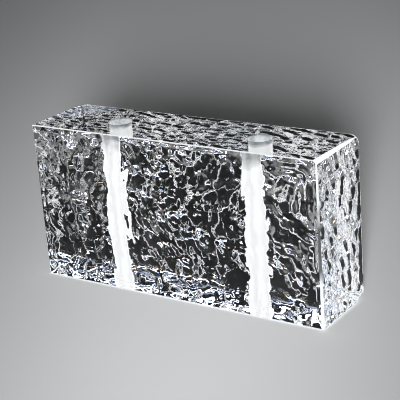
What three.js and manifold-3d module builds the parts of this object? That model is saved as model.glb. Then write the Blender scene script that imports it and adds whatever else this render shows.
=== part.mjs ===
// Solid block of clear glass, cast in one piece and drilled for two tie rods.
//
// Millimetres, +Z up. The block stands on its long narrow side, as it is laid in a wall: X runs
// along its length, Y through its thickness, and the front face looks along -Y. The origin is on
// the bed face, under the middle of the block.

import * as THREE from "three";
import { mergeVertices } from "three/addons/utils/BufferGeometryUtils.js";
import Module from "manifold-3d";

// Overall sizes.
const LENGTH = 200;
const THICKNESS = 50;
const HEIGHT = 100;

// The two rod bores, drilled from the top face to the bed face.
const BORE_DIAMETER = 14;
const BORE_PITCH = 100;
const BORE_MOUTH = 0.5; // width of the bevel ground round each mouth
const BORE_SIDES = 48;

// Narrow bevel ground along every edge, and two wide ones on the +X end: along its top edge,
// tapering from the front face to the back face, and up its front edge, tapering to the top.
const ARRIS = 0.6;
const WIDE_ARRIS_FRONT = 2.4;
const WIDE_ARRIS_BACK = 1;
const SIDE_ARRIS_BED = 1.4;
const SIDE_ARRIS_TOP = 0.7;

// The corners of the back face were rounded by the mould, down to this far from that face.
const BACK_CORNER_RADIUS = 5;
const BACK_CORNER_DEPTH = 12;

// Hammered relief of the two large faces: bowls that meet in ridges. The front face has wide
// shallow bowls with smaller dents over them. The back face, which lay in the mould, has flat
// bottomed ones with steep walls.
const FRONT_BOWLS = { width: 11, depth: 1, power: 2, spread: 0.3, sharpness: 24, seed: 1 };
const FRONT_DENTS = { width: 7.5, depth: 0.5, power: 2, spread: 0.9, sharpness: 30, seed: 4 };
const BACK_BOWLS = { width: 11, depth: 3.2, power: 4, spread: 0.3, sharpness: 30, seed: 2 };
const RIM_LEVEL = 0.425; // how high a bowl's wall is, in bowl depths, half a width from its middle
const BOWL_SCATTER = 0.9; // how far a middle strays from its even place, in bowl widths
const COLUMN_SWAY = { reach: 3.2, wave: 74 }; // of a column of bowls, from side to side
const ROW_SWAY = { reach: 2.8, wave: 90 }; // of a row of bowls, up and down
const RELIEF_BORDER = 1; // plain strip round each large face
const RELIEF_FADE = 3; // width over which the relief rises to that strip
const RELIEF_CORNER_RADIUS = 9;

// Spacing of the mesh's lines on the large faces, and through the thickness.
const FACE_STEP = 3.2;
const THICKNESS_STEP = 14;

const halfLength = LENGTH / 2;
const halfThickness = THICKNESS / 2;
const halfHeight = HEIGHT / 2;

const wasm = await Module();
wasm.setup();

function solidFrom(geometry) {
  const bare = geometry.clone();
  bare.deleteAttribute("normal");
  bare.deleteAttribute("uv");
  const merged = mergeVertices(bare, 1e-4);
  return new wasm.Manifold(
    new wasm.Mesh({
      numProp: 3,
      vertProperties: new Float32Array(merged.attributes.position.array),
      triVerts: new Uint32Array(merged.index.array),
    }),
  );
}

function geometryFrom(solid) {
  const mesh = solid.getMesh();
  const geometry = new THREE.BufferGeometry();
  geometry.setAttribute("position", new THREE.BufferAttribute(mesh.vertProperties, 3));
  geometry.setIndex(new THREE.BufferAttribute(mesh.triVerts, 1));
  geometry.computeVertexNormals();
  return geometry;
}

// A number from 0 to 1 that looks random but is always the same for one bowl.
function chance(column, row, salt) {
  let n = Math.imul(column, 374761393) ^ Math.imul(row, 668265263) ^ Math.imul(salt, 974634777);
  n = Math.imul(n ^ (n >>> 13), 1274126177);
  return ((n ^ (n >>> 16)) >>> 0) / 4294967296;
}

// Depth at (x, z) of one layer of bowls. Their middles are a width apart, their walls rise with a
// power of the distance from the middle, and their bottoms differ by the spread, in bowl depths.
// The lowest bowl near a point wins, and two of them blend at a ridge.
function bowlDepth(x, z, { width, depth, power, spread, sharpness, seed }) {
  const sway = ({ reach, wave }, along) => reach * Math.sin((2 * Math.PI * along) / wave + seed);
  const across = (x + sway(COLUMN_SWAY, z)) / width;
  const up = (z + sway(ROW_SWAY, x)) / width;
  const firstColumn = Math.floor(across) - 2;
  const firstRow = Math.floor(up) - 2;
  let blend = 0;
  for (let column = firstColumn; column <= firstColumn + 4; column++) {
    for (let row = firstRow; row <= firstRow + 4; row++) {
      const middleAcross = column + 0.5 + BOWL_SCATTER * (chance(column, row, 3 * seed) - 0.5);
      const middleUp = row + 0.5 + BOWL_SCATTER * (chance(column, row, 3 * seed + 1) - 0.5);
      const bottom = spread * chance(column, row, 3 * seed + 2);
      const away = Math.hypot(across - middleAcross, up - middleUp);
      const level = bottom + RIM_LEVEL * (2 * away) ** power;
      blend += Math.exp(-sharpness * level);
    }
  }
  const level = -Math.log(blend) / sharpness;
  return depth * THREE.MathUtils.clamp(1 - level, 0, 1);
}

// How far the cast surface lies below the plane of the front or the back face at (x, z). The
// dents stand askew to the bowls, on axes turned by the angle of a 3-4-5 triangle.
function reliefDepth(x, z, atBack) {
  if (atBack) return bowlDepth(x, z, BACK_BOWLS);
  return bowlDepth(x, z, FRONT_BOWLS) + bowlDepth(0.8 * x + 0.6 * z, 0.8 * z - 0.6 * x, FRONT_DENTS);
}

// Share of the relief's full depth at (x, z): none on the plain strip and in its round corners.
function reliefShare(x, z) {
  const across = Math.abs(x) - (halfLength - RELIEF_BORDER - RELIEF_CORNER_RADIUS);
  const up = Math.abs(z) - (halfHeight - RELIEF_BORDER - RELIEF_CORNER_RADIUS);
  const beyond = Math.hypot(Math.max(across, 0), Math.max(up, 0)) + Math.min(Math.max(across, up), 0);
  return THREE.MathUtils.smoothstep(RELIEF_CORNER_RADIUS - beyond, 0, RELIEF_FADE);
}

// Places of the mesh's lines from -half to half: at the given distances from both ends, and
// evenly spaced in between.
function linesAcross(half, nearEnds, step) {
  const inner = half - nearEnds.at(-1);
  const count = Math.max(1, Math.round((2 * inner) / step));
  const even = Array.from({ length: count - 1 }, (_, i) => -inner + (2 * inner * (i + 1)) / count);
  return [
    ...nearEnds.map((distance) => distance - half),
    ...even,
    ...nearEnds.map((distance) => half - distance).reverse(),
  ];
}

// Moves one point of the plain box's surface to its place on the cast block.
function castPoint(x, y, z) {
  const turn = THREE.MathUtils.smoothstep(y, halfThickness - BACK_CORNER_DEPTH, halfThickness);
  const atEnd = Math.abs(x) === halfLength;
  const atLevel = Math.abs(z) === halfHeight;
  const atFace = Math.abs(y) === halfThickness;

  // A point on the line where two or three sides meet moves to the middle of the bevel there.
  const sidePull = atFace ? ARRIS / 2 : (ARRIS / 2) * (1 - turn);
  const reach = new THREE.Vector2(Math.abs(x), Math.abs(z));
  if (atEnd && (atLevel || atFace)) reach.x -= sidePull;
  if (atLevel && (atEnd || atFace)) reach.y -= sidePull;
  const depth = Math.abs(y) - (atFace && (atEnd || atLevel) ? ARRIS / 2 : 0);

  // Near the back, the square corner is drawn in to a round one.
  const radius = BACK_CORNER_RADIUS * turn;
  const middle = new THREE.Vector2(halfLength - radius, halfHeight - radius);
  const outward = reach.clone().sub(middle);
  if (outward.x > 0 && outward.y > 0) {
    reach.copy(middle).add(outward.setLength(Math.max(outward.x, outward.y)));
  }

  const placedX = Math.sign(x) * reach.x;
  const placedZ = Math.sign(z) * reach.y;
  const relief = atFace ? reliefShare(placedX, placedZ) * reliefDepth(placedX, placedZ, y > 0) : 0;
  return [placedX, Math.sign(y) * (depth - relief), placedZ];
}

// The block as it leaves the mould, with its narrow arrises.
function castBody() {
  const nearCorners = [0, ARRIS, BACK_CORNER_RADIUS / 2, BACK_CORNER_RADIUS];
  const xs = linesAcross(halfLength, nearCorners, FACE_STEP);
  const ys = linesAcross(halfThickness, [0, ARRIS, BACK_CORNER_DEPTH / 2], THICKNESS_STEP);
  const zs = linesAcross(halfHeight, nearCorners, FACE_STEP);
  const box = new THREE.BoxGeometry(1, 1, 1, xs.length - 1, ys.length - 1, zs.length - 1);
  const position = box.attributes.position;
  const placeOn = (lines, share) => lines[Math.round((share + 0.5) * (lines.length - 1))];
  for (let i = 0; i < position.count; i++) {
    const x = placeOn(xs, position.getX(i));
    const y = placeOn(ys, position.getY(i));
    const z = placeOn(zs, position.getZ(i));
    position.setXYZ(i, ...castPoint(x, y, z));
  }
  return solidFrom(box);
}

// What the grinder takes off one edge of the +X end, between two of its corners: all that lies
// beyond a plane at 45 degrees, whose bevel narrows from one width to the other. The end face
// meets another side there, and "over" points from the edge across that side.
function wideArrisCut(fromCorner, fromWidth, toCorner, toWidth, over) {
  const inward = new THREE.Vector3(-1, 0, 0);
  const middleOfBevel = (corner, width) => inward.clone().add(over).multiplyScalar(width / 2).add(corner);
  const start = middleOfBevel(fromCorner, fromWidth);
  const along = middleOfBevel(toCorner, toWidth).sub(start).normalize();
  const out = new THREE.Vector3().crossVectors(inward.clone().sub(over), along).normalize();
  if (out.x < 0) out.negate();
  const across = new THREE.Vector3().crossVectors(along, out);
  const thick = 4 * WIDE_ARRIS_FRONT;
  const long = 2 * fromCorner.distanceTo(toCorner);
  const cut = new THREE.BoxGeometry(thick, long, thick).translate(0, 0, thick / 2);
  return cut.applyMatrix4(new THREE.Matrix4().makeBasis(across, along, out).setPosition(start));
}

// What the drill and the mouth grinder take out for one rod.
function boreCut() {
  const radius = BORE_DIAMETER / 2;
  const past = 1;
  const profile = [
    [0, -halfHeight - past],
    [radius + BORE_MOUTH + past, -halfHeight - past],
    [radius, -halfHeight + BORE_MOUTH],
    [radius, halfHeight - BORE_MOUTH],
    [radius + BORE_MOUTH + past, halfHeight + past],
    [0, halfHeight + past],
  ].map(([r, z]) => new THREE.Vector2(r, z));
  return new THREE.LatheGeometry(profile, BORE_SIDES).rotateX(Math.PI / 2);
}

function glassBlock() {
  const topFront = new THREE.Vector3(halfLength, -halfThickness, halfHeight);
  const topBack = new THREE.Vector3(halfLength, halfThickness, halfHeight);
  const bedFront = new THREE.Vector3(halfLength, -halfThickness, -halfHeight);
  const down = new THREE.Vector3(0, 0, -1);
  const backward = new THREE.Vector3(0, 1, 0);
  const cuts = [
    wideArrisCut(topFront, WIDE_ARRIS_FRONT, topBack, WIDE_ARRIS_BACK, down),
    wideArrisCut(bedFront, SIDE_ARRIS_BED, topFront, SIDE_ARRIS_TOP, backward),
    ...[-1, 1].map((side) => boreCut().translate((side * BORE_PITCH) / 2, 0, 0)),
  ];
  return geometryFrom(cuts.reduce((solid, cut) => solid.subtract(solidFrom(cut)), castBody()));
}

const clearGlass = new THREE.MeshStandardMaterial({
  color: 0xeaf1f3,
  roughness: 0.04,
  metalness: 0,
  transparent: true,
  opacity: 0.35,
});

const block = new THREE.Mesh(glassBlock(), clearGlass);
block.name = "glass_block";
block.position.z = halfHeight;

const part = new THREE.Group();
part.add(block);
export default part;
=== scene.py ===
"""A solid brick of clear cast glass, bored for two tie rods, dressed over its frame."""

import math

import bmesh
import bpy
import numpy as np
from mathutils import Matrix, Vector


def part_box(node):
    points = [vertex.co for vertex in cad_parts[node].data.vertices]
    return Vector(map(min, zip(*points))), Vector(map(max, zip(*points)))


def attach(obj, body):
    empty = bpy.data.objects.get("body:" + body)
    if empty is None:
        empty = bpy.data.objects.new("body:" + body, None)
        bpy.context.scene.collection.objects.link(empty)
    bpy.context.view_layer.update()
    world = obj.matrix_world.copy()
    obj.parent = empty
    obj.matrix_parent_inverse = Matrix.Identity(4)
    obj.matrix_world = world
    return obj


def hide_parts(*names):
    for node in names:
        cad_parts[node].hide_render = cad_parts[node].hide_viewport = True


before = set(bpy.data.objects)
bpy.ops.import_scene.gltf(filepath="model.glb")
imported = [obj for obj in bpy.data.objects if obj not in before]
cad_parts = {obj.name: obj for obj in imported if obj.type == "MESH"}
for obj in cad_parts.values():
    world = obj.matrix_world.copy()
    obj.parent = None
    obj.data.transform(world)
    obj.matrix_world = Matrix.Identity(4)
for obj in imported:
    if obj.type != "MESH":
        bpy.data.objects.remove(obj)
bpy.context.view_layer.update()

# ---------------------------------------------------------------- the cast brick
# One heavy brick of clear soda-lime glass, cast in an iron mould. Its two large faces keep the
# hammered relief of the mould. The four narrow faces are ground flat and polished, and every
# edge between them is broken with a narrow ground bevel, the arris.

MM = 0.001
low, high = (np.array(corner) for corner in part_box("glass_block"))
HALF = (high - low) / 2
MIDDLE = (high + low) / 2

ARRIS = 0.6 * MM
BACK_CORNER_RADIUS = 5 * MM  # the mould rounds the corners of the back face
BACK_CORNER_DEPTH = 12 * MM

# The relief: layers of bowls that meet in ridges, as in the frame, and over each face a layer of
# small crumbs that the frame leaves out. "turn" is the cosine and sine of a layer's skew.
FRONT_BOWLS = dict(width=11 * MM, depth=1.0 * MM, power=2, spread=0.3, sharpness=24,
                   seed=1, turn=(1, 0))
FRONT_DENTS = dict(width=7.5 * MM, depth=0.5 * MM, power=2, spread=0.9, sharpness=30,
                   seed=4, turn=(0.8, 0.6))
FRONT_CRUMBS = dict(width=3.6 * MM, depth=0.24 * MM, power=2, spread=0.9, sharpness=8,
                    seed=7, turn=(0.6, -0.8))
BACK_BOWLS = dict(width=11 * MM, depth=3.2 * MM, power=4, spread=0.3, sharpness=30,
                  seed=2, turn=(1, 0))
BACK_CRUMBS = dict(width=3.2 * MM, depth=0.7 * MM, power=2, spread=0.9, sharpness=6,
                   seed=5, turn=(0.8, 0.6))
CALM, CALM_X, CALM_Z, CALM_WIDTH, CALM_HEIGHT = 0.75, 4 * MM, 8 * MM, 40 * MM, 26 * MM
FOOT_CALM, FOOT_START, FOOT_FULL = 0.85, 20 * MM, 36 * MM  # the last two are below the middle
ARC_DEPTH, ARC_SPACING, ARC_BAND, ARC_REACH = 0.25 * MM, 4 * MM, 14 * MM, 40 * MM
ARC_CALM = 0.9  # how much weaker the bowls are where the arcs are
RIM_LEVEL = 0.425  # how high a bowl's wall is, in bowl depths, half a width from its middle
BOWL_SCATTER = 0.9
COLUMN_SWAY, COLUMN_WAVE = 3.2 * MM, 74 * MM
ROW_SWAY, ROW_WAVE = 2.8 * MM, 90 * MM
RELIEF_BORDER = 1 * MM  # plain strip round each large face
RELIEF_FADE = 3 * MM
RELIEF_CORNER_RADIUS = 9 * MM
ON_SIDE = 1e-7  # in metres, how near to a side a point of the plain box lies on it


def chance(column, row, salt):
    """An even share from 0 to 1, always the same for one bowl."""
    n = (column * 374761393) ^ (row * 668265263) ^ (salt * 974634777)
    n = n & 0xFFFFFFFF
    n = ((n ^ (n >> 13)) * 1274126177) & 0xFFFFFFFF
    return (n ^ (n >> 16)) / 4294967296.0


def smoothstep(value, start, end):
    share = np.clip((value - start) / (end - start), 0, 1)
    return share * share * (3 - 2 * share)


def bowl_depth(x, z, width, depth, power, spread, sharpness, seed, turn):
    """Depth of one layer: the lowest bowl near a point wins, and two of them blend at a ridge."""
    x, z = turn[0] * x + turn[1] * z, turn[0] * z - turn[1] * x
    across = (x + COLUMN_SWAY * np.sin(2 * np.pi * z / COLUMN_WAVE + seed)) / width
    up = (z + ROW_SWAY * np.sin(2 * np.pi * x / ROW_WAVE + seed)) / width
    first_column, first_row = np.floor(across).astype(np.int64), np.floor(up).astype(np.int64)
    blend = np.zeros_like(across)
    for column in (first_column + i for i in range(-2, 3)):
        for row in (first_row + i for i in range(-2, 3)):
            middle_across = column + 0.5 + BOWL_SCATTER * (chance(column, row, 3 * seed) - 0.5)
            middle_up = row + 0.5 + BOWL_SCATTER * (chance(column, row, 3 * seed + 1) - 0.5)
            bottom = spread * chance(column, row, 3 * seed + 2)
            away = np.hypot(across - middle_across, up - middle_up)
            blend += np.exp(-sharpness * (bottom + RIM_LEVEL * (2 * away) ** power))
    level = -np.log(np.maximum(blend, 1e-30)) / sharpness
    return depth * np.clip(1 - level, 0, 1)


def inside_relief(x, z):
    """How far a point lies inside the outline of the relief, which has round corners."""
    across = np.abs(x) - (HALF[0] - RELIEF_BORDER - RELIEF_CORNER_RADIUS)
    up = np.abs(z) - (HALF[2] - RELIEF_BORDER - RELIEF_CORNER_RADIUS)
    beyond = np.hypot(np.maximum(across, 0), np.maximum(up, 0)) + np.minimum(np.maximum(across, up), 0)
    return RELIEF_CORNER_RADIUS - beyond


def crumb_share(x, z):
    """The mould is worn smoother in the middle and at the bed, so the crumbs are weaker there."""
    share = 1 - CALM * np.exp(-((x - CALM_X) / CALM_WIDTH) ** 2 - ((z - CALM_Z) / CALM_HEIGHT) ** 2)
    return share * (1 - FOOT_CALM * smoothstep(-z, FOOT_START, FOOT_FULL))


def corner_share(x, z):
    """Share of the arcs' full depth, which is at the front face's top right corner only."""
    return 1 - smoothstep(np.hypot(HALF[0] - x, HALF[2] - z), ARC_REACH / 2, ARC_REACH)


def front_relief(x, z):
    arcs = ARC_DEPTH / 2 * (1 - np.cos(2 * np.pi * inside_relief(x, z) / ARC_SPACING))
    bowls = bowl_depth(x, z, **FRONT_BOWLS) + bowl_depth(x, z, **FRONT_DENTS)
    crumbs = bowl_depth(x, z, **FRONT_CRUMBS) * crumb_share(x, z)
    near = corner_share(x, z) * (1 - smoothstep(inside_relief(x, z), ARC_BAND / 2, ARC_BAND))
    return (bowls + crumbs) * (1 - ARC_CALM * near) + arcs * near


def back_relief(x, z):
    return bowl_depth(x, z, **BACK_BOWLS) + bowl_depth(x, z, **BACK_CRUMBS) * crumb_share(x, z)


def cast_points(x, y, z):
    """Moves points of the plain box's surface to their places on the cast brick."""
    at_end, at_level, at_face = (np.abs(v) > half - ON_SIDE
                                 for v, half in zip((x, z, y), HALF[[0, 2, 1]]))
    turn = smoothstep(y, HALF[1] - BACK_CORNER_DEPTH, HALF[1])
    pull = np.where(at_face, ARRIS / 2, ARRIS / 2 * (1 - turn))
    reach_x = np.abs(x) - np.where(at_end & (at_level | at_face), pull, 0)
    reach_z = np.abs(z) - np.where(at_level & (at_end | at_face), pull, 0)
    depth = np.abs(y) - np.where(at_face & (at_end | at_level), ARRIS / 2, 0)

    radius = BACK_CORNER_RADIUS * turn
    out_x, out_z = reach_x - (HALF[0] - radius), reach_z - (HALF[2] - radius)
    corner = (out_x > 0) & (out_z > 0)
    drawn = np.maximum(out_x, out_z) / (np.hypot(out_x, out_z) + 1e-12)
    placed_x = np.sign(x) * np.where(corner, HALF[0] - radius + out_x * drawn, reach_x)
    placed_z = np.sign(z) * np.where(corner, HALF[2] - radius + out_z * drawn, reach_z)

    share = np.where(at_face, smoothstep(inside_relief(placed_x, placed_z), 0, RELIEF_FADE), 0)
    relief = np.where(y < 0, front_relief(placed_x, placed_z), back_relief(placed_x, placed_z))
    return np.stack([placed_x, np.sign(y) * (depth - share * relief), placed_z], 1)


def lines_across(half, near_ends, step):
    """Places of the mesh's lines: at the given distances from both ends, evenly in between."""
    inner = half - near_ends[-1]
    count = max(1, round(2 * inner / step))
    near = np.array(near_ends)
    return np.concatenate([near - half, np.linspace(-inner, inner, count + 1)[1:-1], (half - near)[::-1]])


POLISHED, GROUND_BORE, CAST, GROUND_ARRIS = range(4)  # the brick's material slots


def box_mesh(xs, ys, zs):
    """The six sides of the brick as one closed mesh of quads on the given lines."""
    index, places, quads, slots = {}, [], [], []

    def vertex(i, j, k):
        if (i, j, k) not in index:
            index[i, j, k] = len(places)
            places.append((xs[i], ys[j], zs[k]))
        return index[i, j, k]

    def side(*corners):
        quads.append([vertex(*corner) for corner in corners])

    nx, ny, nz = len(xs) - 1, len(ys) - 1, len(zs) - 1
    for i in range(nx):
        for k in range(nz):
            rim = i in (0, nx - 1) or k in (0, nz - 1)
            slots += [GROUND_ARRIS if rim else CAST, POLISHED if rim else CAST]
            side((i, 0, k), (i + 1, 0, k), (i + 1, 0, k + 1), (i, 0, k + 1))
            side((i, ny, k), (i, ny, k + 1), (i + 1, ny, k + 1), (i + 1, ny, k))
        for j in range(ny):
            slots += [GROUND_ARRIS if i in (0, nx - 1) or j == 0 else POLISHED] * 2
            side((i, j, 0), (i, j + 1, 0), (i + 1, j + 1, 0), (i + 1, j, 0))
            side((i, j, nz), (i + 1, j, nz), (i + 1, j + 1, nz), (i, j + 1, nz))
    for j in range(ny):
        for k in range(nz):
            slots += [GROUND_ARRIS if j == 0 or k in (0, nz - 1) else POLISHED] * 2
            side((0, j, k), (0, j, k + 1), (0, j + 1, k + 1), (0, j + 1, k))
            side((nx, j, k), (nx, j + 1, k), (nx, j + 1, k + 1), (nx, j, k + 1))
    mesh = bpy.data.meshes.new("cast_brick")
    mesh.from_pydata((cast_points(*np.array(places).T) + MIDDLE).tolist(), [], quads)
    mesh.polygons.foreach_set("material_index", slots)
    return mesh


FACE_STEP = 0.69 * MM  # fine enough for the walls of the bowls
SIDE_STEP = 8 * MM  # the narrow faces are flat
near_corners = [0, ARRIS, 1.5 * MM, 2.4 * MM, 3.2 * MM, 4 * MM, 5 * MM]
xs = lines_across(HALF[0], near_corners, FACE_STEP)
ys = lines_across(HALF[1], [0, ARRIS, 3 * MM, 6 * MM, 9 * MM, BACK_CORNER_DEPTH], SIDE_STEP)
zs = lines_across(HALF[2], near_corners, FACE_STEP)
brick = bpy.data.objects.new("cast_brick", box_mesh(xs, ys, zs))
bpy.context.collection.objects.link(brick)


def linear(hexcode):
    """An sRGB hex colour as the linear RGBA that a shader takes."""
    values = [int(hexcode[i : i + 2], 16) / 255 for i in (1, 3, 5)]
    return [v / 12.92 if v <= 0.04045 else ((v + 0.055) / 1.055) ** 2.4 for v in values] + [1.0]


def node(tree, kind, inputs=None, **settings):
    """Adds a node with its settings, and with a value or a link on each input, by name or number."""
    made = tree.nodes.new(kind)
    for name, value in settings.items():
        setattr(made, name, value)
    for name, value in (inputs or {}).items():
        socket = next(s for number, s in enumerate(made.inputs) if name in (s.name, number) and s.enabled)
        if isinstance(value, bpy.types.Node):
            tree.links.new(next(s for s in value.outputs if s.enabled), socket)
        elif isinstance(value, bpy.types.NodeSocket):
            tree.links.new(value, socket)
        else:
            socket.default_value = value
    return made


def empty_tree(owner):
    owner.use_nodes = True
    owner.node_tree.nodes.clear()
    return owner.node_tree


# Polished soda-lime glass: clear and colourless, with the faint waves that felt polishing leaves.
# The tint turns its mirror reflection down, as a polarising filter on the lens does, so that the
# pale paper doesn't veil what is inside.
GLASS_IOR = 1.52
POLARISED = (0.2, 0.2, 0.2, 1.0)
polished_glass = bpy.data.materials.new("polished_soda_lime_glass")
tree = empty_tree(polished_glass)
POLISH_WAVE, POLISH_DEPTH = 14 * MM, 0.006 * MM
place = node(tree, "ShaderNodeTexCoord").outputs["Object"]
waves = node(tree, "ShaderNodeTexNoise", {"Vector": place, "Scale": 1 / POLISH_WAVE, "Detail": 1.0})
bump = node(tree, "ShaderNodeBump", {"Distance": POLISH_DEPTH, "Height": waves.outputs["Fac"]})
glass = node(tree, "ShaderNodeBsdfPrincipled", {"Base Color": linear("#fdfeff"), "Roughness": 0.0,
             "IOR": GLASS_IOR, "Transmission Weight": 1.0, "Specular Tint": POLARISED, "Normal": bump})
node(tree, "ShaderNodeOutputMaterial", {"Surface": glass})

# The same glass as it left the mould: fire-bright, with the fine ripple of a chilled skin, which
# gathers in patches.
cast_glass = bpy.data.materials.new("cast_relief_glass")
tree = empty_tree(cast_glass)
RIPPLE_WAVE, RIPPLE_DEPTH, PATCH = 2.6 * MM, 0.05 * MM, 24 * MM
place = node(tree, "ShaderNodeTexCoord").outputs["Object"]
ripple = node(tree, "ShaderNodeTexNoise", {"Vector": place, "Scale": 1 / RIPPLE_WAVE, "Detail": 1.0})
patches = node(tree, "ShaderNodeTexNoise", {"Vector": place, "Scale": 1 / PATCH, "Detail": 1.0})
where = node(tree, "ShaderNodeMapRange", {"Value": patches.outputs["Fac"], "From Min": 0.45,
             "From Max": 0.6})
height = node(tree, "ShaderNodeMath", {0: ripple.outputs["Fac"], 1: where}, operation="MULTIPLY")
bump = node(tree, "ShaderNodeBump", {"Distance": RIPPLE_DEPTH, "Height": height})
glass = node(tree, "ShaderNodeBsdfPrincipled", {"Base Color": linear("#fdfeff"), "Roughness": 0.0,
             "IOR": GLASS_IOR, "Transmission Weight": 1.0, "Specular Tint": POLARISED, "Normal": bump})
node(tree, "ShaderNodeOutputMaterial", {"Surface": glass})

# ---------------------------------------------------------------- the two rod bores
# Each bore is drilled right through with a diamond core drill and left as ground, so that its
# wall is matt white. It shows through the clear glass as a white column.

BORE_RADIUS = 7 * MM
BORE_PITCH = 100 * MM
BORE_MOUTH = 0.5 * MM
BORE_SIDES = 96
PAST = 1 * MM  # how far a cutter stands past the glass

# Diamond-ground glass: matt and white. Towards the mouth it is painted greyer in an uneven, patchy
# band, a painted shade that stands in for the dimmer look of the top of the bore.
ground_bore = bpy.data.materials.new("ground_bore_glass")
tree = empty_tree(ground_bore)
MOUTH_DEPTH, FULL_DEPTH, UNEVEN = 4 * MM, 16 * MM, 12 * MM
STREAK, SHADE_PATCH = 9 * MM, 5 * MM
GRAIN, GRAIN_DEPTH = 1.2 * MM, 0.05 * MM  # the real grain is 0.1 mm, drawn coarse enough to show
place = node(tree, "ShaderNodeTexCoord").outputs["Object"]
height = node(tree, "ShaderNodeSeparateXYZ", {0: place}).outputs["Z"]
streaks = node(tree, "ShaderNodeTexNoise", {"Vector": place, "Scale": 1 / STREAK, "Detail": 1.0})
uneven = node(tree, "ShaderNodeMath", {0: streaks.outputs["Fac"], 1: UNEVEN, 2: height},
              operation="MULTIPLY_ADD")
level = float(high[2]) + UNEVEN / 2
mouth = node(tree, "ShaderNodeMapRange", {"Value": uneven, "From Min": level - FULL_DEPTH,
             "From Max": level - MOUTH_DEPTH}, interpolation_type="SMOOTHSTEP")
shade_patches = node(tree, "ShaderNodeTexNoise", {"Vector": place, "Scale": 1 / SHADE_PATCH, "Detail": 2.0})
shade_patch_share = node(tree, "ShaderNodeMapRange", {"Value": shade_patches.outputs["Fac"], "From Min": 0.35,
               "From Max": 0.65})
# Painted shade: the band at the mouth is coloured darker grey, in patches, and blends into the white below.
painted_mouth_shade = node(tree, "ShaderNodeMix", {"Factor": shade_patch_share, "A": linear("#7b7f82"), "B": linear("#a6a9ab")},
              data_type="RGBA")
tone = node(tree, "ShaderNodeMix", {"Factor": mouth, "A": linear("#f4f6f7"), "B": painted_mouth_shade}, data_type="RGBA")
grain = node(tree, "ShaderNodeTexNoise", {"Vector": place, "Scale": 1 / GRAIN, "Detail": 3.0})
bump = node(tree, "ShaderNodeBump", {"Distance": GRAIN_DEPTH, "Height": grain.outputs["Fac"]})
shader = node(tree, "ShaderNodeBsdfPrincipled", {"Base Color": tone, "Roughness": 0.6, "IOR": GLASS_IOR,
              "Normal": bump})
node(tree, "ShaderNodeOutputMaterial", {"Surface": shader})

# Ground with a finer wheel: a bright satin line along each edge. Half way up the upright edges the
# line is painted dark grey in broken patches, nearly as dark as the glass there.
ground_arris = bpy.data.materials.new("ground_arris_glass")
tree = empty_tree(ground_arris)
DARK_MIDDLE, DARK_MIDDLE_FADE = 20 * MM, 24 * MM  # up and down from the middle of the brick
DARK_MIDDLE_PATCH = 7 * MM
place = node(tree, "ShaderNodeTexCoord").outputs["Object"]
height = node(tree, "ShaderNodeSeparateXYZ", {0: place}).outputs["Z"]
rise = node(tree, "ShaderNodeMath", {0: height, 1: MIDDLE[2]}, operation="SUBTRACT")
rise = node(tree, "ShaderNodeMath", {0: rise}, operation="ABSOLUTE")
patches = node(tree, "ShaderNodeTexNoise", {"Vector": place, "Scale": 1 / DARK_MIDDLE_PATCH, "Detail": 1.0})
rise = node(tree, "ShaderNodeMath", {0: patches.outputs["Fac"], 1: DARK_MIDDLE_FADE, 2: rise},
            operation="MULTIPLY_ADD")
dark_middle = node(tree, "ShaderNodeMapRange", {"Value": rise, "From Min": DARK_MIDDLE + DARK_MIDDLE_FADE,
               "From Max": DARK_MIDDLE}, interpolation_type="SMOOTHSTEP")
grain = node(tree, "ShaderNodeTexNoise", {"Vector": place, "Scale": 1 / GRAIN, "Detail": 3.0})
tone = node(tree, "ShaderNodeMix", {"Factor": grain.outputs["Fac"], "A": linear("#e6eaed"),
            "B": linear("#f4f7f8")}, data_type="RGBA")
# About half way up the upright edges the line is painted dark grey.
tone = node(tree, "ShaderNodeMix", {"Factor": dark_middle, "A": tone, "B": linear("#4a4e51")}, data_type="RGBA")
shader = node(tree, "ShaderNodeBsdfPrincipled", {"Base Color": tone, "Roughness": 0.5, "IOR": GLASS_IOR})
node(tree, "ShaderNodeOutputMaterial", {"Surface": shader})

MATERIALS = (polished_glass, ground_bore, cast_glass, ground_arris)  # in the order of the slots
for material in MATERIALS:
    brick.data.materials.append(material)


def cutter_mesh(name, places, faces, slot):
    mesh = bpy.data.meshes.new(name)
    mesh.from_pydata(places, [], faces)
    for material in MATERIALS:
        mesh.materials.append(material)
    for face in mesh.polygons:
        face.material_index = slot
    tidy = bmesh.new()
    tidy.from_mesh(mesh)
    bmesh.ops.recalc_face_normals(tidy, faces=tidy.faces)
    tidy.to_mesh(mesh)
    tidy.free()
    return mesh


def cut_away(mesh):
    """Takes a cutter's solid out of the brick, whose new faces get the cutter's material."""
    cutter = bpy.data.objects.new(mesh.name, mesh)
    bpy.context.collection.objects.link(cutter)
    cut = brick.modifiers.new("cut", "BOOLEAN")
    cut.object = cutter
    cut.solver = "EXACT"
    cut.operation = "DIFFERENCE"
    bpy.context.view_layer.update()
    done = brick.evaluated_get(bpy.context.evaluated_depsgraph_get())
    brick.data = bpy.data.meshes.new_from_object(done)
    brick.modifiers.clear()
    bpy.data.objects.remove(cutter)


def drill(middle_x):
    profile = [(BORE_RADIUS + BORE_MOUTH + PAST, low[2] - PAST), (BORE_RADIUS, low[2] + BORE_MOUTH),
               (BORE_RADIUS, high[2] - BORE_MOUTH), (BORE_RADIUS + BORE_MOUTH + PAST, high[2] + PAST)]
    angles = [2 * math.pi * s / BORE_SIDES for s in range(BORE_SIDES)]
    places = [(middle_x + r * math.cos(a), r * math.sin(a), z) for r, z in profile for a in angles]
    rings = [[ring * BORE_SIDES + s for s in range(BORE_SIDES)] for ring in range(len(profile))]
    faces = [rings[0], rings[-1]]
    for below, above in zip(rings, rings[1:]):
        for s in range(BORE_SIDES):
            faces.append([below[s - 1], below[s], above[s], above[s - 1]])
    return cutter_mesh("drill", places, faces, GROUND_BORE)


for side in (-1, 1):
    cut_away(drill(side * BORE_PITCH / 2))

# ---------------------------------------------------------------- the two wide arrises
# On the right end, two edges are ground back further than the rest: the top one, widest at the
# front, and the upright one at the front, widest at the bed.

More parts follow.
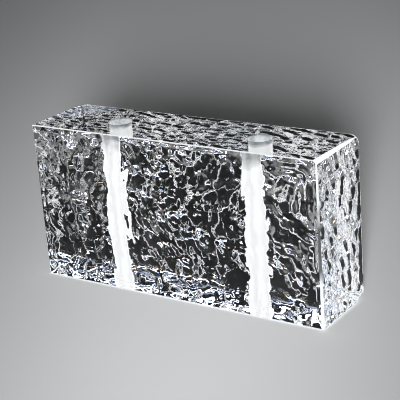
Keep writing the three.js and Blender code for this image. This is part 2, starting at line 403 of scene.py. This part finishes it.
WIDE_ARRIS_FRONT = 2.4 * MM
WIDE_ARRIS_BACK = 1 * MM
SIDE_ARRIS_BED = 1.4 * MM
SIDE_ARRIS_TOP = 0.7 * MM
WHEEL_OVERRUN = 0.1  # how far the wheel runs past both ends of an edge, in lengths of the edge
WHEEL_REACH, WHEEL_DEPTH = 4 * MM, 8 * MM  # past both sides of the bevel, and outwards from it


def wedge(start, start_width, end, end_width, over):
    """All that lies beyond a plane whose bevel changes from one width to the other on the way."""
    start, end, inward, over = Vector(start), Vector(end), Vector((-1, 0, 0)), Vector(over)
    places = []
    for share in (-WHEEL_OVERRUN, 1 + WHEEL_OVERRUN):
        corner = start.lerp(end, share)
        width = start_width + share * (end_width - start_width)
        for a, b in ((inward, over), (over, inward)):
            on_plane = corner + a * width + (a - b) * WHEEL_REACH
            places += [on_plane, on_plane - (inward + over) * WHEEL_DEPTH]
    faces = [[0, 1, 3, 2], [4, 6, 7, 5], [0, 4, 5, 1], [1, 5, 7, 3], [3, 7, 6, 2], [2, 6, 4, 0]]
    return cutter_mesh("wheel", [tuple(place) for place in places], faces, GROUND_ARRIS)


right_top_front = (high[0], low[1], high[2])
right_top_back = (high[0], high[1], high[2])
right_bed_front = (high[0], low[1], low[2])
cut_away(wedge(right_top_front, WIDE_ARRIS_FRONT, right_top_back, WIDE_ARRIS_BACK, (0, 0, -1)))
cut_away(wedge(right_bed_front, SIDE_ARRIS_BED, right_top_front, SIDE_ARRIS_TOP, (0, 1, 0)))

SHARP_EDGE = math.radians(32)  # gentler edges, such as those between two bowls, are smooth
for face in brick.data.polygons:
    face.use_smooth = True
brick.data.set_sharp_from_angle(angle=SHARP_EDGE)
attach(brick, "root")
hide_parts("glass_block")

# ---------------------------------------------------------------- the floor
# A wide sheet of pale matt paper, rolled out under the brick. It isn't part of the object, and it
# lies just clear of the bed face, so that glass and paper don't share a surface.

FLOOR_HALF = 5.0
FLOOR_GAP = 0.2 * MM
sheet = bpy.data.meshes.new("paper_floor")
sheet.from_pydata([(x, y, -FLOOR_GAP) for x, y in ((-FLOOR_HALF, -FLOOR_HALF), (FLOOR_HALF, -FLOOR_HALF),
                  (FLOOR_HALF, FLOOR_HALF), (-FLOOR_HALF, FLOOR_HALF))], [], [[0, 1, 2, 3]])
floor = bpy.data.objects.new("paper_floor", sheet)
bpy.context.collection.objects.link(floor)
paper = bpy.data.materials.new("matt_paper")
tree = empty_tree(paper)
shader = node(tree, "ShaderNodeBsdfDiffuse", {"Color": linear("#e8eaeb")})
node(tree, "ShaderNodeOutputMaterial", {"Surface": shader})
sheet.materials.append(paper)

# ---------------------------------------------------------------- the light
# A dim studio. Softboxes stand behind and beside the brick, since clear glass is dark where it
# looks past them and bright where it meets one. Each lamp lights either the paper or the brick.
# Light isn't bent through glass onto other things (no caustics).

scene = bpy.context.scene
scene.cycles.caustics_refractive = False
scene.cycles.caustics_reflective = False

HORIZON, DARK, HORIZON_RISE = 0.2, 0.012, 0.03  # two radiances, and a share of the way up
studio = bpy.data.worlds.new("dim_studio")
scene.world = studio
tree = empty_tree(studio)
height = node(tree, "ShaderNodeSeparateXYZ", {0: node(tree, "ShaderNodeTexCoord").outputs["Generated"]})
tone = node(tree, "ShaderNodeMapRange", {"Value": height.outputs["Z"], "From Min": 0.0,
            "From Max": HORIZON_RISE, "To Min": HORIZON, "To Max": DARK})
shade = node(tree, "ShaderNodeBackground", {"Color": tone, "Strength": 1.0})
node(tree, "ShaderNodeOutputWorld", {"Surface": shade})


def toward(azimuth, elevation):
    """The way to a lamp: azimuth from the front of the brick round by its right end."""
    a, e = math.radians(azimuth), math.radians(elevation)
    return Vector((math.sin(a) * math.cos(e), -math.cos(a) * math.cos(e), math.sin(e)))


def group(name, member):
    made = bpy.data.collections.new(name)
    made.objects.link(member)
    return made


def lamp(name, kind, azimuth, elevation, distance, lights_up, **settings):
    data = bpy.data.lights.new(name, kind)
    for setting, value in settings.items():
        setattr(data, setting, value)
    made = bpy.data.objects.new(name, data)
    way = toward(azimuth, elevation)
    made.location = Vector(MIDDLE) + way * distance
    made.rotation_euler = way.to_track_quat("Z", "Y").to_euler()
    made.light_linking.receiver_collection = lights_up
    bpy.context.collection.objects.link(made)
    return made


def softbox(name, azimuth, elevation, width, height, radiance, tint):
    return lamp(name, "AREA", azimuth, elevation, BOX_DISTANCE, only_brick, shape="RECTANGLE", size=width,
                size_y=height, energy=radiance * math.pi * width * height, color=linear(tint)[:3])


# A snooted spot makes a soft pool of light round the brick and throws its shadow back from the
# camera, a lamp overhead lights the paper in front, and a weak wash reaches the rest.
only_floor = group("lit_by_floor_lamps", floor)
only_brick = group("lit_by_softboxes", brick)
KEY_ELEVATION, KEY_DISTANCE = 13, 1.3
SUN_DISTANCE = 3  # a sun lights alike from any distance
OVERHEAD_HEIGHT, OVERHEAD_FORWARD = 1.6, 1.6
lamp("key", "SPOT", 31, KEY_ELEVATION, KEY_DISTANCE, only_floor, energy=135, shadow_soft_size=0.12,
     spot_size=math.radians(19), spot_blend=0.55)
lamp("wash", "SUN", 29, KEY_ELEVATION, SUN_DISTANCE, only_floor, energy=1.9, angle=math.radians(18))
overhead = lamp("overhead", "SPOT", 0, 90, OVERHEAD_HEIGHT, only_floor, energy=36, shadow_soft_size=0.2,
                spot_size=math.radians(88), spot_blend=0.6)
overhead.location.y = -OVERHEAD_FORWARD

# What the glass passes on to the paper beneath it comes from a small lamp of its own.
GLOW_HEIGHT, GLOW_BACK, GLOW_RADIANCE = 14 * MM, 12 * MM, 0.25
GLOW_WIDTH, GLOW_DEPTH = 2 * HALF[0], GLOW_BACK + HALF[1]
glow = lamp("light_through_glass", "AREA", 0, 90, GLOW_HEIGHT - HALF[2], only_floor, shape="RECTANGLE",
            size=GLOW_WIDTH, size_y=GLOW_DEPTH, energy=GLOW_RADIANCE * math.pi * GLOW_WIDTH * GLOW_DEPTH)
glow.location.y = (GLOW_BACK - HALF[1]) / 2
glow.light_linking.blocker_collection = only_floor
glow.visible_camera = glow.visible_glossy = glow.visible_transmission = False

# Weak fills that only the floor can block light the ground bores inside the glass.
FILL_ELEVATION = 8
for azimuth in (35, 155, 275):
    fill = lamp("fill", "SUN", azimuth, FILL_ELEVATION, SUN_DISTANCE, only_brick, energy=3.5,
                angle=math.radians(20))
    fill.light_linking.blocker_collection = only_floor
    fill.data.cycles.use_multiple_importance_sampling = False

# A bright strip stands low behind the brick, between a cool and a warm one, with a dim box above
# it. Each line gives azimuth, elevation, width, height, radiance and tint.
BOX_DISTANCE = 1.7
softbox("low_strip", 225, 3, 2.6, 0.06, 6.0, "#eef3ff")
softbox("cool_edge", 225, 4.7, 2.6, 0.03, 5.0, "#a9c7ff")
softbox("warm_edge", 225, 1.3, 2.6, 0.03, 3.5, "#ffd5a8")
softbox("high_box", 228, 34, 2.4, 0.34, 3.5, "#dfeaff")
softbox("dim_box", 228, 12.5, 2.4, 0.24, 0.5, "#cfdfff")
softbox("left_box", 268, 30, 0.45, 1.0, 2.5, "#ffecd2")
softbox("right_box", 140, 20, 0.3, 0.8, 2.5, "#d3e2ff")

# ---------------------------------------------------------------- the camera
# It stands to the right of the brick's front and looks down on it by 20 degrees.

AZIMUTH, ELEVATION, ROLL = 35.53, 20.10, math.radians(-4.68)
DISTANCE = 0.7559
WIDE = 400  # the picture's width and height, in pixels
FOCAL, MIDDLE_X, MIDDLE_Y = 1250.6, -6.0, 8.6  # in pixels, from the picture's centre
back = toward(AZIMUTH, ELEVATION)
right = Vector((0, 0, 1)).cross(back).normalized()
up = back.cross(right)
across = right * math.cos(ROLL) + up * math.sin(ROLL)
upward = up * math.cos(ROLL) - right * math.sin(ROLL)
lens = bpy.data.cameras.new("camera")
lens.sensor_width = 36
lens.lens = FOCAL / WIDE * lens.sensor_width
lens.shift_x = -MIDDLE_X / WIDE
lens.shift_y = MIDDLE_Y / WIDE
camera = bpy.data.objects.new("camera", lens)
camera.matrix_world = (Matrix.Translation(Vector(MIDDLE) + back * DISTANCE)
                       @ Matrix((across, upward, back)).transposed().to_4x4())
bpy.context.collection.objects.link(camera)
scene.camera = camera
lens.clip_end = 50  # in metres, past the far edge of the paper
scene.view_settings.view_transform = "Standard"
scene.cycles.filter_width = 1.0  # a sharp lens
scene.cycles.max_bounces = 24
scene.cycles.transmission_bounces = 24
scene.cycles.glossy_bounces = 12
